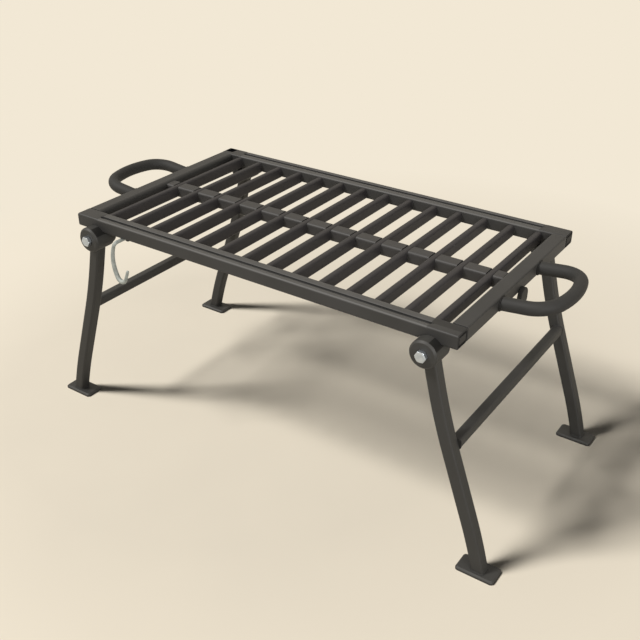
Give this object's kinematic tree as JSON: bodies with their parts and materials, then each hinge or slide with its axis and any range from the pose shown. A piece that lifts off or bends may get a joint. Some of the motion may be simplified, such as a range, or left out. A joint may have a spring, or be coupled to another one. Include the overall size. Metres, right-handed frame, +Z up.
{
  "type": "campfire grill",
  "caption": "Heavy rectangular bar grate with loop handles at its ends, on splayed folding leg pairs with foot plates, and a wire hook under its front rail.",
  "frame": {"origin": "on the ground, below the middle of the grate", "axes": "+X along the grate to the end with the tab, +Y across it to the back, +Z up; the hook hangs at the front"},
  "size_m": [0.7556, 0.3846, 0.3282],
  "materials": {
    "frame_steel": "dark charcoal satin heat proof coat",
    "bar_steel": "dark charcoal satin, slightly worn on the cooking faces",
    "zinc_steel": "bright zinc plated"
  },
  "bodies": {
    "frame": {"front_rail": "frame_steel", "back_rail": "frame_steel", "left_end_bar": "frame_steel", "right_end_bar": "frame_steel", "mid_bar": "bar_steel", "cross_bar_01": "bar_steel", "cross_bar_02": "bar_steel", "cross_bar_03": "bar_steel", "cross_bar_04": "bar_steel", "cross_bar_05": "bar_steel", "cross_bar_06": "bar_steel", "cross_bar_07": "bar_steel", "cross_bar_08": "bar_steel", "cross_bar_09": "bar_steel", "cross_bar_10": "bar_steel", "cross_bar_11": "bar_steel", "cross_bar_12": "bar_steel", "cross_bar_13": "bar_steel", "cross_bar_14": "bar_steel", "left_handle": "frame_steel", "right_handle": "frame_steel", "end_tab": "frame_steel", "front_left_lug": "frame_steel", "front_right_lug": "frame_steel", "back_left_lug": "frame_steel", "back_right_lug": "frame_steel", "hook_eye": "frame_steel", "hinge_bolts": "zinc_steel", "hinge_nuts": "frame_steel", "hinge_washers": "frame_steel"},
    "left_legs": {"left_front_leg": "frame_steel", "left_back_leg": "frame_steel", "left_front_knuckle": "frame_steel", "left_back_knuckle": "frame_steel", "left_brace": "frame_steel", "left_front_foot": "frame_steel", "left_back_foot": "frame_steel"},
    "right_legs": {"right_front_leg": "frame_steel", "right_back_leg": "frame_steel", "right_front_knuckle": "frame_steel", "right_back_knuckle": "frame_steel", "right_brace": "frame_steel", "right_front_foot": "frame_steel", "right_back_foot": "frame_steel"},
    "hook": {"hook": "zinc_steel"}
  },
  "joints": [
    {"name": "left_legs_fold", "type": "hinge", "parent": "frame", "child": "left_legs", "pos_m": [-0.2658, 0, 0.294], "axis": [0, -1, 0], "range_deg": [0, 95]},
    {"name": "right_legs_fold", "type": "hinge", "parent": "frame", "child": "right_legs", "pos_m": [0.2658, 0, 0.294], "axis": [0, 1, 0], "range_deg": [0, 83]},
    {"name": "hook_swing", "type": "hinge", "parent": "frame", "child": "hook", "pos_m": [-0.2185, -0.16, 0.3003], "axis": [0, 1, 0], "range_deg": [-80, 30]}
  ]
}
